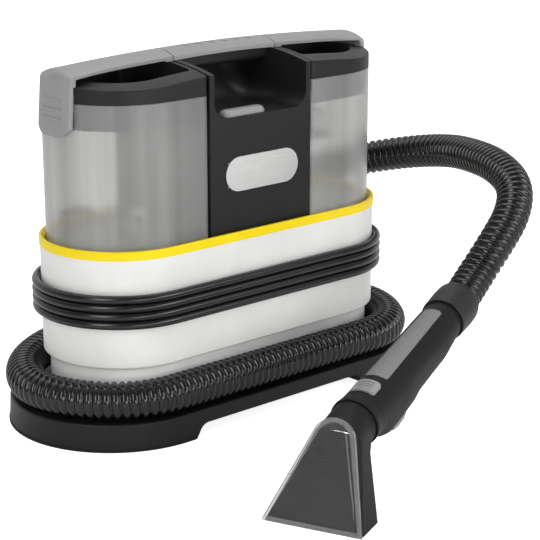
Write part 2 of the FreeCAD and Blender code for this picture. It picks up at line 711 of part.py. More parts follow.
def float_cage():
    top = pipe(21.0, 15.0, Vector(FLOAT_X, 0, 285.8), Vector(FLOAT_X, 0, 288.8))
    bottom = pipe(21.0, 8.0, Vector(FLOAT_X, 0, 231), Vector(FLOAT_X, 0, 233.4))
    posts = []
    for index in range(4):
        angle = math.radians(45 + 90 * index)
        x, y = FLOAT_X + 19.0 * math.cos(angle), 19.0 * math.sin(angle)
        posts.append(rod(1.8, Vector(x, y, 231.2), Vector(x, y, 288.6)))
    return join([top, bottom] + posts)


def float_ball():
    return Part.makeSphere(14.5, Vector(FLOAT_X, 0, 248.3))


# ---- suction and pump parts inside the housing ----
def suction_duct():
    """Air from the column down to the middle of the fan: a riser on a flat box."""
    x, y = AIR_DUCT
    riser = rod(12.0, Vector(x, y, 62), Vector(x, y, BODY_TOP_Z - 2.9))
    channel = rounded_bar(x - 14, FAN_X + 20, -20, y + 10, 58, 68.8, 8.0, UP)
    hollow = rounded_bar(x - 12, FAN_X + 18, -18, y + 8, 60, 66.8, 6.0, UP)
    air = hollow.fuse(rod(10.0, Vector(x, y, 62), Vector(x, y, 170)))
    air = air.fuse(rod(16.0, Vector(FAN_X, 0, 62), Vector(FAN_X, 0, 72)))
    return riser.fuse(channel).cut(air)


def inlet_pipe():
    """From the hose connector up to the dirty-water tank's standpipe."""
    points = [Vector(-6, 64.4, HOSE_Z), Vector(-6, 30, HOSE_Z), Vector(-6, 0, 78), Vector(-6, 0, INLET_Z),
              Vector(COLUMN_HALF[0] - 0.2, 0, INLET_Z)]
    return swept_rod(points, 13.5).cut(swept_rod(points, 11.5))


def fan_cover():
    start, end = Vector(FAN_X, 0, 70.0), Vector(FAN_X, 0, 96.0)
    flange = rod(67.0, Vector(FAN_X, 0, PLINTH_TOP_Z + 2.6), Vector(FAN_X, 0, 71.5))
    cover = rod(62.0, start, end).fuse(flange)
    cover = cover.cut(rod(59.5, Vector(FAN_X, 0, 72.5), Vector(FAN_X, 0, 93.5)))
    intake = rod(18.0, Vector(FAN_X, 0, 60), Vector(FAN_X, 0, 80))
    shaft_hole = rod(8.0, Vector(FAN_X, 0, 90), Vector(FAN_X, 0, 100))
    return cover.cut(intake).cut(shaft_hole)


def fan_impeller():
    plate = rod(54.0, Vector(FAN_X, 0, 90.0), Vector(FAN_X, 0, 91.6))
    hub = rod(9.0, Vector(FAN_X, 0, 78.0), Vector(FAN_X, 0, 91.6))
    pieces = [plate, hub]
    for index in range(8):
        blade = vertical_box(12, 52, -0.8, 0.8, 76.5, 90.2)
        blade.rotate(Vector(14, 0, 0), UP, 24)
        blade = blade.common(rod(53.0, Vector(0, 0, 70), Vector(0, 0, 95)))
        blade.rotate(Vector(0, 0, 0), UP, 45 * index)
        blade.translate(Vector(FAN_X, 0, 0))
        pieces.append(blade)
    shaft = rod(3.0, Vector(FAN_X, 0, 84), Vector(FAN_X, 0, 99.0))
    return join(pieces + [shaft])


def fan_motor():
    case = rod(41.0, Vector(FAN_X, 0, 99.6), Vector(FAN_X, 0, 150.0))
    case = round_edges(case, 5.0, lambda edge: edge.BoundBox.ZMin > 149.0)
    return case.fuse(rod(14.0, Vector(FAN_X, 0, 149), Vector(FAN_X, 0, 157)))


def motor_mount():
    return pipe(50.0, 41.2, Vector(FAN_X, 0, 112), Vector(FAN_X, 0, 122))


def water_pump():
    stations = [(8.0, -48, -36), (19.0, -36, 18), (8.0, 18, 34)]
    lengths = [rod(radius, Vector(PUMP_X + start, PUMP_Y, PUMP_Z), Vector(PUMP_X + end, PUMP_Y, PUMP_Z))
               for radius, start, end in stations]
    return join(lengths)


def pump_cradle():
    support = vertical_box(PUMP_X - 24, PUMP_X + 8, PUMP_Y - 24, PUMP_Y + 24, TRAY_TOP_Z + 2.5, PUMP_Z)
    seat = rod(19.2, Vector(PUMP_X - 40, PUMP_Y, PUMP_Z), Vector(PUMP_X + 20, PUMP_Y, PUMP_Z))
    return support.cut(seat)


def feed_tube():
    """From the tank's outlet socket down to the pump's tail."""
    points = [Vector(VALVE_X, 0, 143), Vector(VALVE_X, 0, 127), Vector(VALVE_X - 34, -12, 116),
              Vector(VALVE_X - 42, PUMP_Y, PUMP_Z), Vector(PUMP_X - 48, PUMP_Y, PUMP_Z)]
    return swept_rod(points, 3.6)


def circuit_board():
    low = TRAY_TOP_Z + 2.5
    board = vertical_box(-150, -104, -40, 14, low + 10, low + 11.6)
    relays = [vertical_box(x, x + 12, -32, -16, low + 11.6, low + 24) for x in (-146, -128)]
    capacitor = rod(6.0, Vector(-118, 2, low + 11.6), Vector(-118, 2, low + 30))
    posts = [rod(3.0, Vector(x, y, low), Vector(x, y, low + 10)) for x in (-146, -108) for y in (-36, 10)]
    return join([board, capacitor] + relays + posts)


def air_filter():
    pleats = vertical_box(GRILLE_X - 31, GRILLE_X + 31, 58.5, 66.4, 37, 55)
    for index in range(9):
        x = GRILLE_X - 28.0 + index * 6.6
        pleats = pleats.cut(vertical_box(x, x + 3, 57, 60.5, 36, 56))
    return pleats


def column_screw_places():
    return four_corners((COLUMN_SCREW, COLUMN_SCREW))


def column_flange():
    """The column's screwed foot, inside its walls."""
    plate = vertical_box(-58.5, 58.5, -67.0, 67.0, BODY_TOP_Z, 170.3)
    plate = plate.cut(vertical_box(-DECK_OPENING, DECK_OPENING, -DECK_OPENING, DECK_OPENING, 160, 175))
    plate = plate.cut(rod(10.0, Vector(*AIR_DUCT, 160), Vector(*AIR_DUCT, 175)))
    for x, y in column_screw_places():
        plate = plate.cut(rod(SCREW_HOLE, Vector(x, y, 160), Vector(x, y, 175)))
    return plate


def housing_screws():
    """Eight identical screws: four up through the floor plate, four down through the column's foot."""
    screws = [screw(Vector(x, y, ARCH_HEIGHT), 1) for x, y in plate_screw_places()]
    screws += [screw(Vector(x, y, 170.3), -1) for x, y in column_screw_places()]
    return Part.makeCompound(screws)


def screw(seat, direction):
    """The underside of the head rests on seat; the shank points up (1) or down (-1)."""
    head = rod(3.5, seat - Vector(0, 0, direction * 1.6), seat)
    return head.fuse(rod(SCREW_HOLE - 0.1, seat, seat + Vector(0, 0, direction * SCREW_DEPTH)))


# ---- hose and its connector ----
def hose_connector():
    """A right-angle elbow behind the machine, from the plinth's back to the hose."""
    y, z = HOSE_WRAP[1], HOSE_Z
    corner = Vector(0, y, z)
    outside = join([rod(17.9, Vector(0, 64.6, z), corner), Part.makeSphere(17.9, corner),
                    rod(17.9, corner, Vector(HOSE_EXIT_X, y, z))])
    flange = rod(24.0, Vector(0, PLINTH[1] + 0.1, z), Vector(0, PLINTH[1] + 3.0, z))
    flange = flange.common(vertical_box(-40, 40, 0, 120, TRAY_TOP_Z + 0.1, PLINTH_TOP_Z - 0.2))
    outside = outside.common(vertical_box(-40, 60, 0, 120, TRAY_TOP_Z + 0.1, 90))
    within_plinth = pipe(30.0, 15.6, Vector(0, 50, z), Vector(0, PLINTH[1], z))
    outside = outside.cut(within_plinth)
    bore = join([rod(13.6, Vector(0, 60, z), corner), Part.makeSphere(14.5, corner),
                 rod(14.5, corner, Vector(HOSE_EXIT_X + 1, y, z))])
    return outside.fuse(flange).cut(bore)


def wrap_corners(outline, z, angles):
    """Corners of a polygon whose sides touch the round end of an outline."""
    half_x, half_y = outline
    reach = half_y / math.cos(math.radians(30))
    centre = half_x - half_y
    corners = []
    for angle in angles:
        direction = math.radians(angle)
        side = 1 if math.cos(direction) > 0 else -1
        corners.append(Vector(side * centre + reach * math.cos(direction), reach * math.sin(direction), z))
    return corners


def hose_route():
    start = Vector(HOSE_EXIT_X, HOSE_WRAP[1], HOSE_Z)
    bulge = Vector(80, HOSE_WRAP[1] + 1.0, HOSE_Z)
    wrap = wrap_corners(HOSE_WRAP, HOSE_Z, [60, 0, -60, -120, 180, 120])
    return [start, bulge] + wrap + HOSE_FREE_ROUTE + [sleeve_point(COLLAR_END + 3.0)]


def suction_hose():
    return cord_tube("suction_hose", hose_route(), HOSE_RADIUS)


# ---- mains lead ----
def cable_gland():
    x, y, z = LEAD_EXIT_X, LEAD_WRAP[1], LEAD_EXIT_Z
    nose = Part.makeCone(7.0, 5.4, 22.0, Vector(x + 22, y, z), Vector(-1, 0, 0))
    foot = rounded_bar(x + 8, x + 26, BODY[1] + 0.05, y + 5.0, z - 8, z + 7, 3.0, ACROSS)
    stub = rod(4.1, Vector(x + 16, BODY[1] - 4, z), Vector(x + 16, y, z))
    gland = join([nose, foot, stub])
    gland = gland.common(vertical_box(x, x + 40, 60, 120, z - 20, z + 20))
    body_side = block(BODY, z - 20, z + 20).cut(rod(4.2, Vector(x + 16, 60, z), Vector(x + 16, 90, z)))
    return gland.cut(body_side)


def lead_start():
    y = LEAD_WRAP[1]
    points = [Vector(LEAD_EXIT_X, y, LEAD_EXIT_Z), Vector(LEAD_EXIT_X - 46, y, LEAD_EXIT_Z),
              Vector(LEAD_EXIT_X - 88, y, LEAD_FIRST_Z - LEAD_RADIUS)]
    return cord_tube("lead_start", points, LEAD_RADIUS)


def lead_coil():
    low = LEAD_FIRST_Z - LEAD_RADIUS
    high = LEAD_FIRST_Z + (LEAD_TURNS - 1) * LEAD_PITCH + LEAD_RADIUS
    outer = (LEAD_WRAP[0] + LEAD_RADIUS, LEAD_WRAP[1] + LEAD_RADIUS)
    return band(outer, 2 * LEAD_RADIUS, low, high)


def lead_tail():
    return cord_tube("lead_tail", LEAD_TAIL_ROUTE, LEAD_RADIUS)


def cord_clip():
    clip = rounded_bar(-23.0, -13.0, 77.4, 100.5, 128.4, 161.0, 3.5, LENGTHWISE)
    return clip.cut(swept_rod(LEAD_TAIL_ROUTE, LEAD_RADIUS)).cut(lead_coil())


def mains_plug():
    """A round two-pin earthed plug with a tapered cable sleeve."""
    y, z = LEAD_TAIL_ROUTE[-1].y, LEAD_TAIL_ROUTE[-1].z
    x = LEAD_TAIL_ROUTE[-1].x
    sleeve = Part.makeCone(5.6, 8.6, 20.0, Vector(x, y, z), Vector(-1, 0, 0))
    shoulder = Part.makeCone(9.0, 18.4, 14.0, Vector(x - 19.0, y, z), Vector(-1, 0, 0))
    body = rod(18.4, Vector(x - 33, y, z), Vector(x - 60, y, z))
    pins = [rod(2.4, Vector(x - 59, y, z + dz), Vector(x - 79, y, z + dz)) for dz in (-9.5, 9.5)]
    return join([sleeve, shoulder, body] + pins)


# ---- wand ----
def place_wand(shape):
    """From the wand's frame to the machine's frame."""
    placed = shape.copy()
    placed.rotate(Vector(0, 0, 0), UP, WAND_HEADING)
    placed.translate(WAND_ORIGIN)
    return placed


def place_on_axis(shape):
    """From the handle's own frame, +X along its axis from the rim, to the machine's frame."""
    placed = shape.copy()
    placed.rotate(Vector(0, 0, 0), ACROSS, -WAND_TILT)
    placed.translate(SLEEVE_START)
    return place_wand(placed)


def sleeve_point(along):
    tilt, heading = math.radians(WAND_TILT), math.radians(WAND_HEADING)
    forward = SLEEVE_START.x + along * math.cos(tilt)
    height = SLEEVE_START.z + along * math.sin(tilt)
    return WAND_ORIGIN + Vector(forward * math.cos(heading), forward * math.sin(heading), height)


def turned(profile):
    """Solid of revolution about the handle's axis from (along, radius) points."""
    points = [Vector(along, 0, radius) for along, radius in profile]
    face = Part.Face(Part.makePolygon(points + [points[0]]))
    return face.revolve(Vector(0, 0, 0), LENGTHWISE, 360)


def axis_rod(radius, start, end):
    return rod(radius, Vector(start, 0, 0), Vector(end, 0, 0))


def round_top(offset):
    """Everything within the handle's round top, grown by offset."""
    outside = [(along, radius + offset) for along, radius, _ in HANDLE_STATIONS]
    return turned([(0.0, 0.0)] + outside + [(SLEEVE_LENGTH, 0.0)])


def belly_section(along, radius, depth):
    """A half circle above the axis and half an ellipse below it."""
    left, right = Vector(along, radius, 0), Vector(along, -radius, 0)
    oval = Part.Ellipse(Vector(along, 0, -depth), left, Vector(along, 0, 0))
    upper = Part.Arc(left, Vector(along, 0, radius), right).toShape()
    lower = Part.ArcOfEllipse(oval, -math.pi / 2, math.pi / 2).toShape()
    return Part.Wire([upper, lower])


def handle_shell():
    """The whole handle outside, bored for the duct and the nozzle's plug, with a hollow belly."""
    outside = Part.makeLoft([belly_section(*station) for station in HANDLE_STATIONS], True, True)
    hollow_stations = [(along, DUCT_BORE, max(depth - 3.0, DUCT_BORE + 0.1))
                       for along, _, depth in HANDLE_STATIONS if 30 < along < 170]
    hollow = Part.makeLoft([belly_section(*station) for station in hollow_stations], True, True)
    bores = axis_rod(DUCT_BORE, 0, SLEEVE_LENGTH).fuse(axis_rod(SOCKET_BORE, 0, SOCKET_DEPTH))
    return outside.cut(hollow).cut(bores)


def release_outline(grow):
    start, end = BUTTON_REACH
    half = BUTTON_HALF_WIDTH + grow
    return rounded_bar(start - grow, end + grow, -half, half, 5, 40, 3.0, UP)


def release_seat():
    return release_outline(0.4).cut(axis_rod(16.6, 0, 60))


def inlay_outline(grow):
    """The soft strip on top of the handle, narrower towards the collar."""
    (start, end), (half_start, half_end) = INLAY_REACH, INLAY_HALF_WIDTHS
    corners = [Vector(start - grow, -half_start - grow, 5), Vector(end + grow, -half_end - grow, 5),
               Vector(end + grow, half_end + grow, 5), Vector(start - grow, half_start + grow, 5)]
    prism = Part.Face(Part.makePolygon(corners + [corners[0]])).extrude(Vector(0, 0, 35))
    return round_edges(prism, 3.0, runs_along(UP))


def wand_upper_shell():
    upper = handle_shell().common(vertical_box(-5, 200, -40, 40, 0, 40))
    inlay_seat = inlay_outline(0.2).cut(round_top(-1.7))
    return place_on_axis(upper.cut(release_seat()).cut(inlay_seat))


def trigger_slot():
    return vertical_box(49, 89, -6.6, 6.6, -60, -14.9)


def wand_lower_shell():
    lower = handle_shell().common(vertical_box(-5, 200, -40, 40, -60, 0))
    pin_hole = rod(1.6, TRIGGER_HINGE - ACROSS * 30, TRIGGER_HINGE + ACROSS * 30)
    return place_on_axis(lower.cut(trigger_slot()).cut(pin_hole))


def wand_inlay():
    return place_on_axis(inlay_outline(0.0).common(round_top(0.3)).cut(round_top(-1.6)))


def release_button():
    """A curved cap standing out of the handle, with four ribs across it."""
    shape = release_outline(0.0).common(round_top(1.8)).cut(axis_rod(18.4, 0, 60))
    start, end = BUTTON_REACH
    for index in range(4):
        along = start + (index + 1) * (end - start) / 5
        rib = pipe(22.9, 20.0, Vector(along - 0.6, 0, 0), Vector(along + 0.6, 0, 0))
        shape = shape.fuse(rib.common(vertical_box(0, 60, -6.5, 6.5, 10, 30)))
    return place_on_axis(shape)


def trigger():
    """A finger lever under the handle, hinged near its front end."""
    outline = [(52, -27), (52, -36), (57, -42.5), (66, -44), (78, -43), (84, -38), (85.5, -30), (84, -27)]
    corners = [Vector(along, -TRIGGER_WIDTH / 2, depth) for along, depth in outline]
    face = Part.Face(Part.makePolygon(corners + [corners[0]]))
    lever = face.extrude(ACROSS * TRIGGER_WIDTH)
    lever = round_edges(lever, 1.5, lambda edge: edge.BoundBox.ZMax < -35.9 and edge.BoundBox.YLength < 0.01)
    return place_on_axis(lever.cut(rod(1.65, TRIGGER_HINGE - ACROSS * 20, TRIGGER_HINGE + ACROSS * 20)))


def trigger_pin():
    return place_on_axis(rod(1.55, TRIGGER_HINGE - ACROSS * 9.6, TRIGGER_HINGE + ACROSS * 9.6))


def wand_pipe():
    """The water and air duct through the handle, with a strainer disc at its nozzle end."""
    duct = pipe(DUCT_RADIUS, 13.2, Vector(23, 0, 0), Vector(205, 0, 0))
    strainer = rod(13.4, Vector(24, 0, 0), Vector(25.6, 0, 0))
    for ring, count in ((0.0, 1), (4.8, 6), (9.6, 12)):
        for index in range(count):
            angle = 2 * math.pi * index / count
            y, z = ring * math.cos(angle), ring * math.sin(angle)
            strainer = strainer.cut(rod(1.7, Vector(20, y, z), Vector(30, y, z)))
    return place_on_axis(duct.fuse(strainer))


def swivel_collar():
    """A flared cup over the handle's end that carries the hose and turns on the duct."""
    cup_radius = 19.3
    cup_end = SLEEVE_LENGTH + 0.6
    duct_end = 205.4
    outside = [(COLLAR_START, cup_radius), (COLLAR_START, 20.6), (COLLAR_START + 1.0, 20.9),
               (COLLAR_START + 22, 21.6), (COLLAR_END - 5, 21.2), (COLLAR_END - 1, 20.2), (COLLAR_END, 19.0)]
    inside = [(COLLAR_END, HOSE_SOCKET), (duct_end, HOSE_SOCKET), (duct_end, DUCT_RADIUS + 0.4),
              (cup_end, DUCT_RADIUS + 0.4), (cup_end, cup_radius)]
    return place_on_axis(turned(outside + inside))


# ---- nozzle ----
def rounded_rectangle(centre, across, up, width, depth, radius):
    """Four quarter circles joined by straight sides, in the plane of across and up."""
    half_w, half_d = width / 2 - radius, depth / 2 - radius
    corners = [(half_w, -half_d), (half_w, half_d), (-half_w, half_d), (-half_w, -half_d)]

    def spot(corner, degrees):
        angle = math.radians(degrees)
        x = corner[0] + radius * math.cos(angle)
        y = corner[1] + radius * math.sin(angle)
        return centre + across * x + up * y

    edges = []
    for index, corner in enumerate(corners):
        turn = 90 * index
        following = corners[(index + 1) % 4]
        edges.append(Part.Arc(spot(corner, turn - 90), spot(corner, turn - 45), spot(corner, turn)).toShape())
        edges.append(Part.LineSegment(spot(corner, turn), spot(following, turn)).toShape())
    return Part.Wire(edges)


def cover_frame():
    """The middle of the cover's foot, then the unit directions across it, up it and out of it."""
    foot = (COVER_FOOT_LEFT + COVER_FOOT_RIGHT) * 0.5
    across = (COVER_FOOT_LEFT - COVER_FOOT_RIGHT).normalize()
    along = (COVER_TOP - foot).normalize()
    return foot, across, along, along.cross(across).normalize()


def nozzle_sections(grow):
    """From the mouth on the floor, up the steep face and round into the neck."""
    foot, across, _, _ = cover_frame()
    forward = across.cross(UP)
    mouth_centre = Vector(foot.x, foot.y, 0) + forward * (MOUTH_DEPTH / 2 + 1.2)
    mouth_width = (COVER_FOOT_LEFT - COVER_FOOT_RIGHT).Length - 1.6
    lean = Vector(-math.sin(WAIST_LEAN), 0, math.cos(WAIST_LEAN))
    mouth = rounded_rectangle(mouth_centre, across, forward * -1, mouth_width + 2 * grow,
                              MOUTH_DEPTH + 2 * grow, 5.0 + grow)
    waist = rounded_rectangle(WAIST_CENTRE, ACROSS, lean, 42.0 + 2 * grow, 43.0 + 2 * grow, 13.0 + grow)
    neck_radius = NECK_RADIUS + grow
    sections = [mouth, waist]
    for distance in (8.0, 0.6):
        centre = SLEEVE_START - HANDLE_ALONG * distance
        sections.append(rounded_rectangle(centre, ACROSS, HANDLE_UP, 2 * neck_radius, 2 * neck_radius,
                                          neck_radius - 0.2))
    return sections


def nozzle_body():
    outer = Part.makeLoft(nozzle_sections(0.0), True, True)
    inner = Part.makeLoft(nozzle_sections(-NOZZLE_WALL), True, True)
    plug_start, plug_end = SLEEVE_START - HANDLE_ALONG * 4.0, SLEEVE_START + HANDLE_ALONG * PLUG_LENGTH
    return place_wand(outer.cut(inner).fuse(pipe(PLUG_RADIUS, DUCT_BORE, plug_start, plug_end)))


def cover_outline(lift, shrink):
    """The clear cover's outline on the steep front face: a trapezoid with an arched top."""
    foot, across, along, out = cover_frame()
    height = (COVER_TOP - foot).Length
    half_foot = (COVER_FOOT_LEFT - COVER_FOOT_RIGHT).Length / 2 - shrink
    half_top = COVER_HALF_TOP - shrink
    base = foot + out * lift + along * shrink
    shoulder = base + along * (height - 9.0 - shrink)
    crest = base + along * (height + 4.0 - 2 * shrink)
    left_foot, right_foot = base + across * half_foot, base - across * half_foot
    left_top, right_top = shoulder + across * half_top, shoulder - across * half_top
    edges = [
        Part.LineSegment(right_foot, left_foot).toShape(),
        Part.LineSegment(left_foot, left_top).toShape(),
        Part.Arc(left_top, crest, right_top).toShape(),
        Part.LineSegment(right_top, right_foot).toShape(),
    ]
    return Part.Face(Part.Wire(edges))


def nozzle_cover():
    """A clear plate on the steep face with a raised rim all round."""
    _, _, _, out = cover_frame()
    plate = cover_outline(-1.0, 0.0).extrude(out * COVER_THICKNESS)
    pocket = cover_outline(COVER_THICKNESS - 2.2, COVER_RIM).extrude(out * 5.0)
    body = Part.makeLoft(nozzle_sections(0.12), True, True)
    plate = plate.cut(pocket).cut(body).common(vertical_box(-20, 80, -60, 60, 0.0, 120))
    return place_wand(max(plate.Solids, key=lambda piece: piece.Volume))


def spray_tip():
    """The spray jet that stands out of the nozzle's back wall."""
    tip = Part.makeCone(5.5, 3.6, 9.0, SPRAY_START, Vector(0.8, 0, -0.6))
    tip = tip.cut(Part.makeLoft(nozzle_sections(0.3), True, True))
    return place_wand(max(tip.Solids, key=lambda piece: piece.Volume))


def piece_builders():
    """Every piece by name."""
    return {
        "base_tray": base_tray,
        "floor_plate": floor_plate,
        "rubber_feet": rubber_feet,
        "housing_screws": housing_screws,
        "lower_housing": lower_housing,
        "upper_housing": upper_housing,
        "accent_ring": accent_ring,
        "exhaust_grille": exhaust_grille,
        "air_filter": air_filter,
        "centre_column": centre_column,
        "recess_liner": recess_liner,
        "carry_grip": carry_grip,
        "grip_beam": grip_beam,
        "badge_plate": badge_plate,
        "power_button": power_button,
        "power_switch": power_switch,
        "fresh_tank": fresh_tank,
        "fresh_lid": tank_lid,
        "fresh_lid_arm": lid_arm,
        "fresh_gasket": lid_gasket,
        "valve_cage": valve_cage,
        "tank_valve": tank_valve,
        "valve_spring": valve_spring,
        "outlet_socket": outlet_socket,
        "dirt_tank": dirt_tank,
        "standpipe": standpipe,
        "float_cage": float_cage,
        "float_ball": float_ball,
        "suction_duct": suction_duct,
        "inlet_pipe": inlet_pipe,
        "fan_cover": fan_cover,
        "fan_impeller": fan_impeller,
        "fan_motor": fan_motor,
        "motor_mount": motor_mount,
        "water_pump": water_pump,
        "pump_cradle": pump_cradle,
        "feed_tube": feed_tube,
        "circuit_board": circuit_board,
        "hose_connector": hose_connector,
        "suction_hose": suction_hose,
        "cable_gland": cable_gland,
        "lead_start": lead_start,
        "lead_coil": lead_coil,
        "lead_tail": lead_tail,
        "cord_clip": cord_clip,
        "mains_plug": mains_plug,
        "wand_upper_shell": wand_upper_shell,
        "wand_lower_shell": wand_lower_shell,
        "wand_inlay": wand_inlay,
        "release_button": release_button,
        "trigger": trigger,
        "trigger_pin": trigger_pin,
        "wand_pipe": wand_pipe,
        "swivel_collar": swivel_collar,
        "nozzle_body": nozzle_body,
        "nozzle_cover": nozzle_cover,
        "spray_tip": spray_tip,
    }


def main():
    os.makedirs("parts", exist_ok=True)
    for name, build in piece_builders().items():
        save(name, build())
    mirrored = {"dirt_lid": tank_lid, "dirt_lid_arm": lid_arm, "dirt_gasket": lid_gasket}
    for name, build in mirrored.items():
        save(name, mirror_across_middle(build()))


main()
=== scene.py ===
import json
import math

import bpy
from mathutils import Matrix, Vector


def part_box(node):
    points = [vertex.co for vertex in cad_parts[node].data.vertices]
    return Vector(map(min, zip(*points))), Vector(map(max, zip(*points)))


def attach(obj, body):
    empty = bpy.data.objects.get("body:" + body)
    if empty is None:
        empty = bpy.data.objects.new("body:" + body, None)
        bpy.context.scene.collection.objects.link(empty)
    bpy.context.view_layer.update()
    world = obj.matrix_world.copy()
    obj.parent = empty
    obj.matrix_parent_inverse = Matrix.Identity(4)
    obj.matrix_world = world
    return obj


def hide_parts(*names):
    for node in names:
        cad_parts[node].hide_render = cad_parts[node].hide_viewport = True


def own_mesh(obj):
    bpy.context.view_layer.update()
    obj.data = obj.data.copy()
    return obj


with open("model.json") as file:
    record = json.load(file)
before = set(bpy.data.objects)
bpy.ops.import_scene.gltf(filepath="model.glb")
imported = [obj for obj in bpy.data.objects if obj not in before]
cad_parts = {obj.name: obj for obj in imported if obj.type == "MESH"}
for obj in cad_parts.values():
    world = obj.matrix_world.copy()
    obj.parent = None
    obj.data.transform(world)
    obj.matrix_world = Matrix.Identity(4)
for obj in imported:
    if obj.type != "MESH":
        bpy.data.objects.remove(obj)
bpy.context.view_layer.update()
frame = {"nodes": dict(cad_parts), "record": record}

MM = 0.001

# ---- places repeated from the part, in millimetres ----
HOSE_RADIUS = 17.5
HOSE_WRAP = (204.5, 87.5)
HOSE_Z = 43.6
HOSE_EXIT_X = 42.0
HOSE_EASE = (80.0, 1.0)
HOSE_END_INSET = 3.0
HOSE_FREE_ROUTE = [
    (-66, 97, 55), (24, 109, 93), (112, 113, 131), (188, 99, 161), (248, 66, 177), (284, 14, 190),
    (288, -42, 200), (269, -93, 205), (247, -143, 206), (224, -186, 197), (196, -207, 178),
    (163, -214, 155), (134, -212, 125),
]
RIB_PITCH = 7.3
RIB_DEPTH = 2.7
RIB_SHARE = 0.88

LEAD_RADIUS = 3.95
LEAD_WRAP = (189.1, 80.0)
LEAD_FIRST_Z = 109.2
LEAD_PITCH = 7.85
LEAD_TURNS = 4
LEAD_STEP_X = 30
LEAD_START_ROUTE = [(88, 80, 97.6), (42, 80, 97.6), (0, 80, 105.25)]
LEAD_TAIL_ROUTE = [(36, 80, 136.6), (14, 81, 140), (-8, 90, 151), (-27, 97, 157), (-46, 97, 157)]

SPRING_COIL_RADIUS = 4.4
SPRING_WIRE_RADIUS = 0.7
SPRING_TURNS = 6

WAND_ORIGIN = Vector((-162.0, -309.0, 0.0))
WAND_HEADING = math.radians(18.2)
WAND_TILT = math.radians(13.0)
SLEEVE_START = Vector((75.3, 0.0, 65.0))
COLLAR_END = 214.0

# The clear cover's plane in the wand's own frame, and the heights over it where the rim starts and ends; the
# clear plastic paints a highlight on the rim between these heights.
COVER_FOOT = Vector((-1.2, -1.85, 0.3))
COVER_ACROSS = Vector((-6.8, 86.7, 0.0)).normalized()
COVER_TOP = Vector((36.5, -4.6, 78.6))
RIM_START = 1.4
RIM_END = 2.3
WAND_TURN = Matrix.Rotation(WAND_HEADING, 3, "Z")
COVER_OUT = WAND_TURN @ (COVER_TOP - COVER_FOOT).cross(COVER_ACROSS).normalized()
COVER_MIDDLE = COVER_OUT.dot(WAND_ORIGIN + WAND_TURN @ COVER_FOOT)
COVER_PLATE_TOP = (COVER_MIDDLE + RIM_START) * MM
COVER_RIM_TOP = (COVER_MIDDLE + RIM_END) * MM

CAMERA_PLACE = (-1.0114, -1.2061, 0.5744)
CAMERA_AIM = Vector((0.6419, 0.7139, -0.2797))
CAMERA_LENS = 112.8
SENSOR_WIDTH = 36.0

# The world's light rises from the room's to the backdrop's as a direction turns towards BACKDROP_SIDE;
# BACKDROP_RANGE holds the dot products with that side where the rise starts and ends.
BACKDROP_SIDE = (0.62, 0.70, 0.35)
BACKDROP_RANGE = (-0.35, 0.75)
BACKDROP_LIGHT = 0.75
ROOM_LIGHT = 0.20
FLOOR_REACH = 6.0
FLOOR_DROP = 0.0004
FLOOR_GLOW = 0.85
LAMP_AIM = Vector((0, 0, 0.15))
# Each lamp's name, place and size in metres, and power in watts.
LAMPS = [
    ("key", (-2.1, -0.9, 1.3), (0.9, 1.7), 23),
    ("fill", (0.9, -2.2, 1.0), (1.3, 1.2), 20),
    ("low", (-0.5, -2.3, 0.45), (1.6, 0.5), 13),
    ("top", (0.2, 0.5, 2.3), (1.8, 1.2), 16),
]

# Points round a section and along a length of the made meshes.
CORD_STEPS = 24
LEAD_SECTION_STEPS = 6
HOSE_AROUND = 36
ROWS_PER_RIB = 9
WIRE_AROUND = 10
STEPS_PER_TURN = 28


# ---- camera, floor and light ----
def make_camera():
    """A long lens at the front left, a little above the machine."""
    data = bpy.data.cameras.new("view")
    data.sensor_width = SENSOR_WIDTH
    data.lens = CAMERA_LENS
    camera = bpy.data.objects.new("view", data)
    camera.location = CAMERA_PLACE
    camera.rotation_euler = CAMERA_AIM.to_track_quat("-Z", "Y").to_euler()
    bpy.context.scene.collection.objects.link(camera)
    bpy.context.scene.camera = camera


def make_floor():
    """A pale floor; its glow is seen by the camera only and lights nothing."""
    mesh = bpy.data.meshes.new("floor")
    signs = [(-1, -1), (1, -1), (1, 1), (-1, 1)]
    corners = [(x * FLOOR_REACH, y * FLOOR_REACH, 0) for x, y in signs]
    mesh.from_pydata(corners, [], [(0, 1, 2, 3)])
    floor = bpy.data.objects.new("floor", mesh)
    floor.location.z = -FLOOR_DROP
    bpy.context.scene.collection.objects.link(floor)
    material = bpy.data.materials.new("floor")
    material.use_nodes = True
    shader = material.node_tree.nodes["Principled BSDF"]
    shader.inputs["Base Color"].default_value = (0.93, 0.93, 0.93, 1)
    shader.inputs["Roughness"].default_value = 0.7
    shader.inputs["Specular IOR Level"].default_value = 0.1
    shader.inputs["Emission Color"].default_value = (1, 1, 1, 1)
    nodes, links = material.node_tree.nodes, material.node_tree.links
    glow = nodes.new("ShaderNodeMath")
    glow.operation = "MULTIPLY"
    glow.inputs[1].default_value = FLOOR_GLOW
    links.new(nodes.new("ShaderNodeLightPath").outputs["Is Camera Ray"], glow.inputs[0])
    links.new(glow.outputs[0], shader.inputs["Emission Strength"])
    mesh.materials.append(material)


def soft_light(name, place, size, power):
    """A rectangular lamp that faces the machine."""
    data = bpy.data.lights.new(name, "AREA")
    data.shape = "RECTANGLE"
    data.size, data.size_y = size
    data.energy = power
    light = bpy.data.objects.new(name, data)
    light.location = place
    aim = LAMP_AIM - Vector(place)
    light.rotation_euler = aim.to_track_quat("-Z", "Y").to_euler()
    bpy.context.scene.collection.objects.link(light)


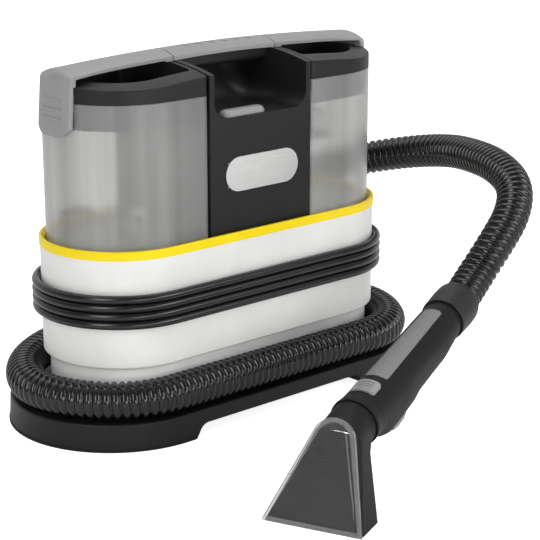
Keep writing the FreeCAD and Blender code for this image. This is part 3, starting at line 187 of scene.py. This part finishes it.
def make_light():
    """A bright backdrop beyond the machine, a dimmer room on the near side, and four soft boxes."""
    world = bpy.data.worlds.new("studio")
    bpy.context.scene.world = world
    world.use_nodes = True
    nodes, links = world.node_tree.nodes, world.node_tree.links
    coordinates = nodes.new("ShaderNodeTexCoord")
    towards = nodes.new("ShaderNodeVectorMath")
    towards.operation = "DOT_PRODUCT"
    towards.inputs[1].default_value = BACKDROP_SIDE
    links.new(coordinates.outputs["Generated"], towards.inputs[0])
    room = nodes.new("ShaderNodeMapRange")
    room.interpolation_type = "SMOOTHSTEP"
    room.inputs["From Min"].default_value = BACKDROP_RANGE[0]
    room.inputs["From Max"].default_value = BACKDROP_RANGE[1]
    room.inputs["To Min"].default_value = ROOM_LIGHT
    room.inputs["To Max"].default_value = BACKDROP_LIGHT
    links.new(towards.outputs["Value"], room.inputs["Value"])
    seen = nodes.new("ShaderNodeLightPath")
    strength = nodes.new("ShaderNodeMix")
    links.new(seen.outputs["Is Camera Ray"], strength.inputs[0])
    links.new(room.outputs["Result"], strength.inputs[2])
    strength.inputs[3].default_value = 1.0
    nodes["Background"].inputs["Color"].default_value = (1, 1, 1, 1)
    links.new(strength.outputs[0], nodes["Background"].inputs["Strength"])
    for name, place, size, power in LAMPS:
        soft_light(name, place, size, power)
    bpy.context.scene.view_settings.view_transform = "Standard"


# ---- materials ----
class Nodes:
    """A material being built: short names for its nodes and links."""

    def __init__(self, name):
        self.material = bpy.data.materials.new(name)
        self.material.use_nodes = True
        self.tree = self.material.node_tree
        self.shader = self.tree.nodes["Principled BSDF"]
        coordinates = self.add("ShaderNodeTexCoord")
        self.place = coordinates.outputs["Object"]

    def add(self, kind, **settings):
        node = self.tree.nodes.new(kind)
        for key, value in settings.items():
            setattr(node, key, value)
        return node

    def link(self, source, target):
        self.tree.links.new(source, target)

    def set(self, **values):
        for key, value in values.items():
            self.shader.inputs[key.replace("_", " ")].default_value = value

    def noise(self, scale, detail=2.0, stretch=None):
        node = self.add("ShaderNodeTexNoise")
        node.inputs["Scale"].default_value = scale
        node.inputs["Detail"].default_value = detail
        source = self.place
        if stretch:
            mapping = self.add("ShaderNodeMapping")
            mapping.inputs["Scale"].default_value = stretch
            self.link(self.place, mapping.inputs["Vector"])
            source = mapping.outputs["Vector"]
        self.link(source, node.inputs["Vector"])
        return node.outputs["Fac"]

    def ramp(self, source, low, high, values):
        """Maps source from low..high to the two values."""
        node = self.add("ShaderNodeMapRange")
        node.inputs["From Min"].default_value = low
        node.inputs["From Max"].default_value = high
        node.inputs["To Min"].default_value = values[0]
        node.inputs["To Max"].default_value = values[1]
        self.link(source, node.inputs["Value"])
        return node.outputs["Result"]

    def mix_colours(self, factor, first, second):
        node = self.add("ShaderNodeMix", data_type="RGBA")
        node.inputs[6].default_value = (*first, 1)
        node.inputs[7].default_value = (*second, 1)
        self.link(factor, node.inputs[0])
        return node.outputs[2]

    def colour(self, source):
        self.link(source, self.shader.inputs["Base Color"])

    def roughness(self, source):
        self.link(source, self.shader.inputs["Roughness"])

    def relief(self, height, strength, distance=0.0003):
        """Bumps of a height in metres, which the strength scales."""
        node = self.add("ShaderNodeBump")
        node.inputs["Strength"].default_value = strength
        node.inputs["Distance"].default_value = distance
        self.link(height, node.inputs["Height"])
        self.link(node.outputs["Normal"], self.shader.inputs["Normal"])


def moulded(name, colour, roughness, grain=0.05, grain_scale=1600.0, spread=0.05, shine=0.5):
    """Moulded plastic: fine grain and uneven gloss."""
    made = Nodes(name)
    made.set(Specular_IOR_Level=shine)
    cloudy = made.noise(30.0, 3.0)
    darker = tuple(0.93 * channel for channel in colour)
    patches = made.ramp(cloudy, 0.3, 0.7, (0, 1))
    made.colour(made.mix_colours(patches, darker, colour))
    made.roughness(made.ramp(cloudy, 0.25, 0.75, (roughness - spread, roughness + spread)))
    made.relief(made.noise(grain_scale, 2.0), grain)
    return made.material


def smoky_tank():
    """Smoky see-through wall with faint upright streaks of painted reflection and a glossy outside."""
    made = Nodes("smoky_tank")
    made.set(IOR=1.10, Transmission_Weight=0.84, Coat_Weight=0.6, Coat_Roughness=0.2)
    # Upright streaks between a darker and a paler base colour: painted reflection streaks.
    streaks = made.ramp(made.noise(1.0, 3.0, stretch=(46.0, 46.0, 0.8)), 0.32, 0.68, (0, 1))
    made.colour(made.mix_colours(streaks, (0.64, 0.64, 0.635), (0.90, 0.90, 0.89)))
    made.roughness(made.ramp(made.noise(14.0, 2.0), 0.3, 0.7, (0.30, 0.38)))
    made.relief(made.noise(14.0, 1.0), 0.01)
    return made.material


def clear_plastic():
    """Clear plate with a painted highlight on its raised rim, found by its height above the plate, and a
    faint painted reflection over the whole plate.
    """
    made = Nodes("clear_plastic")
    made.set(IOR=1.42)
    height = made.add("ShaderNodeVectorMath", operation="DOT_PRODUCT")
    height.inputs[1].default_value = COVER_OUT
    made.link(made.place, height.inputs[0])
    painted_rim_highlight = made.ramp(height.outputs["Value"], COVER_PLATE_TOP, COVER_RIM_TOP, (0, 1))
    # Less transmission lets the pale base colour show: a faint painted reflection over the plate and a
    # brighter painted highlight on the rim.
    made.link(made.ramp(painted_rim_highlight, 0, 1, (0.962, 0.85)), made.shader.inputs["Transmission Weight"])
    made.colour(made.mix_colours(painted_rim_highlight, (0.80, 0.81, 0.81), (0.97, 0.98, 0.98)))
    made.roughness(made.ramp(made.noise(40.0, 3.0), 0.3, 0.8, (0.0, 0.05)))
    made.relief(made.noise(12.0, 1.0), 0.01)
    return made.material


def brushed_metal(name, colour, stretch, roughness=0.34):
    """Metal with fine streaks along the axis that the stretch leaves long."""
    made = Nodes(name)
    made.set(Metallic=1.0)
    streaks = made.noise(900.0, 4.0, stretch=stretch)
    darker = tuple(0.88 * channel for channel in colour)
    made.colour(made.mix_colours(made.ramp(streaks, 0.3, 0.7, (0, 1)), darker, colour))
    made.roughness(made.ramp(streaks, 0.3, 0.7, (roughness - 0.08, roughness + 0.1)))
    made.relief(streaks, 0.05, distance=0.0002)
    return made.material


def ribbed_hose():
    """Glossy black; the ribs are in the mesh."""
    made = Nodes("ribbed_hose")
    made.set(Base_Color=(0.005, 0.005, 0.005, 1), Specular_IOR_Level=0.50)
    made.roughness(made.ramp(made.noise(40.0, 3.0), 0.3, 0.7, (0.13, 0.20)))
    made.relief(made.noise(60.0, 1.0), 0.01, distance=0.0004)
    return made.material


def woven_pleats():
    """Pale filter paper."""
    made = Nodes("pleats")
    made.set(Roughness=0.9)
    made.colour(made.mix_colours(made.noise(700.0, 3.0), (0.62, 0.6, 0.52), (0.8, 0.78, 0.7)))
    made.relief(made.noise(1500.0, 2.0), 0.4)
    return made.material


def dimpled_grey():
    """Soft grip strip covered with small dimples, with painted shade darkening each dimple."""
    made = Nodes("dimpled_grey")
    made.set(Roughness=0.55)
    dots = made.add("ShaderNodeTexVoronoi")
    dots.inputs["Scale"].default_value = 900.0
    made.link(made.place, dots.inputs["Vector"])
    height = made.ramp(dots.outputs["Distance"], 0.1, 0.6, (0, 1))
    # Darker colour where the dimples sink: painted shade.
    made.colour(made.mix_colours(height, (0.13, 0.13, 0.134), (0.195, 0.195, 0.20)))
    made.relief(height, 0.5)
    return made.material


def dress(node, material):
    """Gives a carried-over part its material."""
    part = frame["nodes"][node]
    if not part.material_slots:
        part.data.materials.append(material)
    for place in part.material_slots:
        place.link = "OBJECT"
        place.material = material


def dress_everything():
    """A material for every slot, then the wand's own finish and a paler white on the plinth as painted fill
    light where it sits in shade.
    """
    made = {
        "charcoal": moulded("charcoal", (0.011, 0.011, 0.0115), 0.42, grain=0.10, shine=0.26),
        "white_shell": moulded("white_shell", (0.78, 0.78, 0.765), 0.35, grain=0.01, grain_scale=500),
        "yellow_ring": moulded(
            "yellow_ring", (0.92, 0.70, 0.001), 0.36, grain=0.01, grain_scale=500, shine=0.3),
        "grey_grip": moulded("grey_grip", (0.28, 0.28, 0.282), 0.42, grain=0.05),
        "textured_grey": dimpled_grey(),
        "smoke_tank": smoky_tank(),
        "clear_cover": clear_plastic(),
        "badge_metal": brushed_metal("badge_metal", (0.72, 0.72, 0.71), (0.03, 1.0, 1.0)),
        "black_inner": moulded("black_inner", (0.012, 0.012, 0.0125), 0.45, shine=0.34),
        "pale_inner": moulded("pale_inner", (0.50, 0.50, 0.49), 0.45),
        "rubber": moulded("rubber", (0.02, 0.02, 0.02), 0.75, grain=0.2, grain_scale=900),
        "valve_red": moulded("valve_red", (0.40, 0.03, 0.02), 0.6),
        "steel": brushed_metal("steel", (0.62, 0.61, 0.60), (1.0, 1.0, 0.05), 0.30),
        "pump_case": moulded("pump_case", (0.06, 0.06, 0.08), 0.4),
        "clear_tube": moulded("clear_tube", (0.62, 0.62, 0.58), 0.3),
        "board_green": moulded("board_green", (0.02, 0.16, 0.05), 0.3),
        "filter_pleat": woven_pleats(),
        "hose": ribbed_hose(),
        "lead": moulded("lead", (0.007, 0.007, 0.007), 0.22, grain=0.01, grain_scale=300),
    }
    for row in frame["record"]["subparts"]:
        dress(row["node"], made[row["material_slot"]])
    satin = moulded("charcoal_satin", (0.011, 0.011, 0.0115), 0.48, grain=0.08, shine=0.13)
    for node in ("wand_upper_shell", "wand_lower_shell", "nozzle_body"):
        dress(node, satin)
    # A paler copy of the white shell on the plinth: painted fill light where the body and hose shade it.
    plinth_painted_fill = moulded("plinth_painted_fill", (0.93, 0.93, 0.915), 0.35, grain=0.01, grain_scale=500)
    dress("lower_housing", plinth_painted_fill)
    return made


# ---- cords ----
def smooth_line(name, points):
    """A NURBS spline with the route's points as its control points."""
    data = bpy.data.curves.new(name, "CURVE")
    data.dimensions = "3D"
    spline = data.splines.new("NURBS")
    spline.points.add(len(points) - 1)
    for target, point in zip(spline.points, points):
        target.co = (*(Vector(point) * MM), 1)
    spline.order_u = 3
    spline.use_endpoint_u = True
    spline.resolution_u = CORD_STEPS
    line = bpy.data.objects.new(name, data)
    bpy.context.scene.collection.objects.link(line)
    return line


def points_along(line):
    """The points of a bare curve's own evaluated line."""
    bpy.context.view_layer.update()
    mesh = bpy.data.meshes.new_from_object(line)
    points = [vertex.co.copy() for vertex in mesh.vertices]
    bpy.data.meshes.remove(mesh)
    return points


def wrap_corners(outline, z, angles, turn):
    """Corners of a polygon whose sides touch an outline's round ends; turn is the angle at each corner."""
    half_x, half_y = outline
    reach = half_y / math.cos(math.radians(turn / 2))
    corners = []
    for angle in angles:
        direction = math.radians(angle)
        end = math.copysign(half_x - half_y, math.cos(direction))
        corners.append((end + reach * math.cos(direction), reach * math.sin(direction), z))
    return corners


def sleeve_point(along):
    """The point on the handle's axis at a distance from the start of the sleeve."""
    forward = SLEEVE_START.x + along * math.cos(WAND_TILT)
    height = SLEEVE_START.z + along * math.sin(WAND_TILT)
    return WAND_ORIGIN + Vector((forward * math.cos(WAND_HEADING), forward * math.sin(WAND_HEADING), height))


def hose_route():
    """Out of the connector, once round the base, then free behind the machine and round to the handle."""
    ease_x, ease_y = HOSE_EASE
    start = [(HOSE_EXIT_X, HOSE_WRAP[1], HOSE_Z), (ease_x, HOSE_WRAP[1] + ease_y, HOSE_Z)]
    right = wrap_corners(HOSE_WRAP, HOSE_Z, [60, 0, -60], 60)
    left = wrap_corners(HOSE_WRAP, HOSE_Z, [-120, 180, 120], 60)
    side = 2 * HOSE_WRAP[1] * math.tan(math.radians(30))
    # The straight front stretch starts one polygon side away from the corner at each end.
    front = [(right[-1][0] - side, -HOSE_WRAP[1], HOSE_Z), (left[0][0] + side, -HOSE_WRAP[1], HOSE_Z)]
    return start + right + front + left + HOSE_FREE_ROUTE + [tuple(sleeve_point(COLLAR_END + HOSE_END_INSET))]


def lead_route():
    """Off the gland, four turns round the body that step up at the back, then to the clip and plug."""
    half_x, half_y = LEAD_WRAP
    straight = half_x - half_y
    side = 2 * half_y * math.tan(math.radians(22.5))
    near = straight - side / 2
    route = list(LEAD_START_ROUTE)
    for turn in range(LEAD_TURNS):
        z = LEAD_FIRST_Z + turn * LEAD_PITCH
        route.append((-LEAD_STEP_X, half_y, z))
        route.append((-near, half_y, z))
        route += wrap_corners(LEAD_WRAP, z, [112.5, 157.5, 202.5, 247.5], 45)
        route += [(-near, -half_y, z), (near, -half_y, z)]
        route += wrap_corners(LEAD_WRAP, z, [-67.5, -22.5, 22.5, 67.5], 45)
        route.append((near, half_y, z))
        if turn < LEAD_TURNS - 1:
            route.append((LEAD_STEP_X, half_y, z))
    return route + LEAD_TAIL_ROUTE


def rib_height(share):
    """Rounded ribs with narrow valleys; share is the place within one pitch, 0 to 1."""
    across = (2 * share - 1) / RIB_SHARE
    return math.sqrt(max(0.0, 1 - across * across))


class Track:
    """Places and turning frames at any distance along a line of points."""

    def __init__(self, points):
        self.points = points
        self.distances = [0.0]
        for first, second in zip(points, points[1:]):
            self.distances.append(self.distances[-1] + (second - first).length)
        self.length = self.distances[-1]
        self.directions = []
        last = len(points) - 1
        for index in range(len(points)):
            step = points[min(index + 1, last)] - points[max(index - 1, 0)]
            self.directions.append(step.normalized())
        side = self.directions[0].orthogonal().normalized()
        self.sides = [side]
        for direction in self.directions[1:]:
            side = (side - direction * side.dot(direction)).normalized()
            self.sides.append(side)
        self.index = 0

    def at(self, distance):
        """(place, direction, side) at a distance; the index only has to move a little between calls."""
        distance = min(max(distance, 0.0), self.length)
        while self.index < len(self.points) - 2 and self.distances[self.index + 1] < distance:
            self.index += 1
        while self.index > 0 and self.distances[self.index] > distance:
            self.index -= 1
        i = self.index
        span = self.distances[i + 1] - self.distances[i]
        t = (distance - self.distances[i]) / span if span > 0 else 0.0
        place = self.points[i].lerp(self.points[i + 1], t)
        direction = self.directions[i].lerp(self.directions[i + 1], t).normalized()
        side = self.sides[i].lerp(self.sides[i + 1], t)
        side = (side - direction * side.dot(direction)).normalized()
        return place, direction, side


def hose_mesh(track):
    """Rings that climb one pitch on their way round, so each ends where the ring one rib on starts."""
    vertices, faces = [], []
    pitch = RIB_PITCH * MM
    last = (int(track.length / pitch) + 2) * ROWS_PER_RIB
    for ring in range(last + 1):
        share = (ring % ROWS_PER_RIB) / ROWS_PER_RIB
        radius = HOSE_RADIUS - RIB_DEPTH * (1 - rib_height(share))
        for column in range(HOSE_AROUND):
            pitches = (ring - ROWS_PER_RIB) / ROWS_PER_RIB + column / HOSE_AROUND
            place, direction, side = track.at(pitches * pitch)
            angle = 2 * math.pi * column / HOSE_AROUND
            outward = side * math.cos(angle) + direction.cross(side) * math.sin(angle)
            vertices.append(place + outward * radius * MM)
    for ring in range(last):
        for column in range(HOSE_AROUND):
            a = ring * HOSE_AROUND + column
            b = a + HOSE_AROUND
            if column < HOSE_AROUND - 1:
                faces.append((a, a + 1, b + 1, b))
            elif ring + ROWS_PER_RIB < last:
                c = (ring + ROWS_PER_RIB) * HOSE_AROUND
                faces.append((a, c, c + HOSE_AROUND, b))
    mesh = bpy.data.meshes.new("hose")
    mesh.from_pydata(vertices, [], faces)
    mesh.validate()
    return mesh


def smooth_piece(name, mesh, material):
    """A new smooth-shaded object with the mesh and the material."""
    mesh.polygons.foreach_set("use_smooth", [True] * len(mesh.polygons))
    mesh.materials.append(material)
    piece = bpy.data.objects.new(name, mesh)
    bpy.context.scene.collection.objects.link(piece)
    return piece


def make_hose(material):
    """The ribbed hose, from the connector to the handle's collar."""
    line = smooth_line("hose_line", hose_route())
    points = points_along(line)
    bpy.data.objects.remove(line)
    track = Track(points)
    hose = smooth_piece("hose", hose_mesh(track), material)
    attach(hose, "machine")
    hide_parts("suction_hose")


def make_lead(material):
    """The mains lead: a round cord along its line, wound four times round the body."""
    line = smooth_line("mains_lead", lead_route())
    line.data.bevel_depth = LEAD_RADIUS * MM
    line.data.bevel_resolution = LEAD_SECTION_STEPS
    line.data.use_fill_caps = True
    line.data.materials.append(material)
    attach(line, "machine")
    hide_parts("lead_start", "lead_coil", "lead_tail")


# ---- valve spring ----
def spring_mesh(foot, height):
    """A closed wire helix that stands on foot."""
    radius, wire = SPRING_COIL_RADIUS * MM, SPRING_WIRE_RADIUS * MM
    last = SPRING_TURNS * STEPS_PER_TURN
    climb = (height - 2 * wire) / last
    up = Vector((0, 0, 1))
    vertices, faces = [], []
    for ring in range(last + 1):
        turn = 2 * math.pi * ring / STEPS_PER_TURN
        outward = Vector((math.cos(turn), math.sin(turn), 0))
        centre = foot + up * (wire + climb * ring) + outward * radius
        for column in range(WIRE_AROUND):
            angle = 2 * math.pi * column / WIRE_AROUND
            vertices.append(centre + (outward * math.cos(angle) + up * math.sin(angle)) * wire)
    for ring in range(last):
        for column in range(WIRE_AROUND):
            a = ring * WIRE_AROUND + column
            b = ring * WIRE_AROUND + (column + 1) % WIRE_AROUND
            faces.append((a, a + WIRE_AROUND, b + WIRE_AROUND, b))
    faces.append(tuple(range(WIRE_AROUND)))
    faces.append(tuple(reversed(range(last * WIRE_AROUND, (last + 1) * WIRE_AROUND))))
    mesh = bpy.data.meshes.new("spring")
    mesh.from_pydata(vertices, [], faces)
    return mesh


def make_valve_spring(material):
    """An open coil in place of the plain sleeve; the real spring shortens from below as the valve rises, but
    this coil keeps one length.
    """
    low, high = (Vector(corner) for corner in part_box("valve_spring"))
    height = high.z - low.z
    foot = Vector(((low.x + high.x) / 2, (low.y + high.y) / 2, low.z))
    spring = smooth_piece("spring", spring_mesh(foot, height), material)
    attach(spring, "fresh_tank")
    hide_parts("valve_spring")
    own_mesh(spring)


make_camera()
make_light()
make_floor()
finishes = dress_everything()
make_hose(finishes["hose"])
make_lead(finishes["lead"])
make_valve_spring(finishes["steel"])
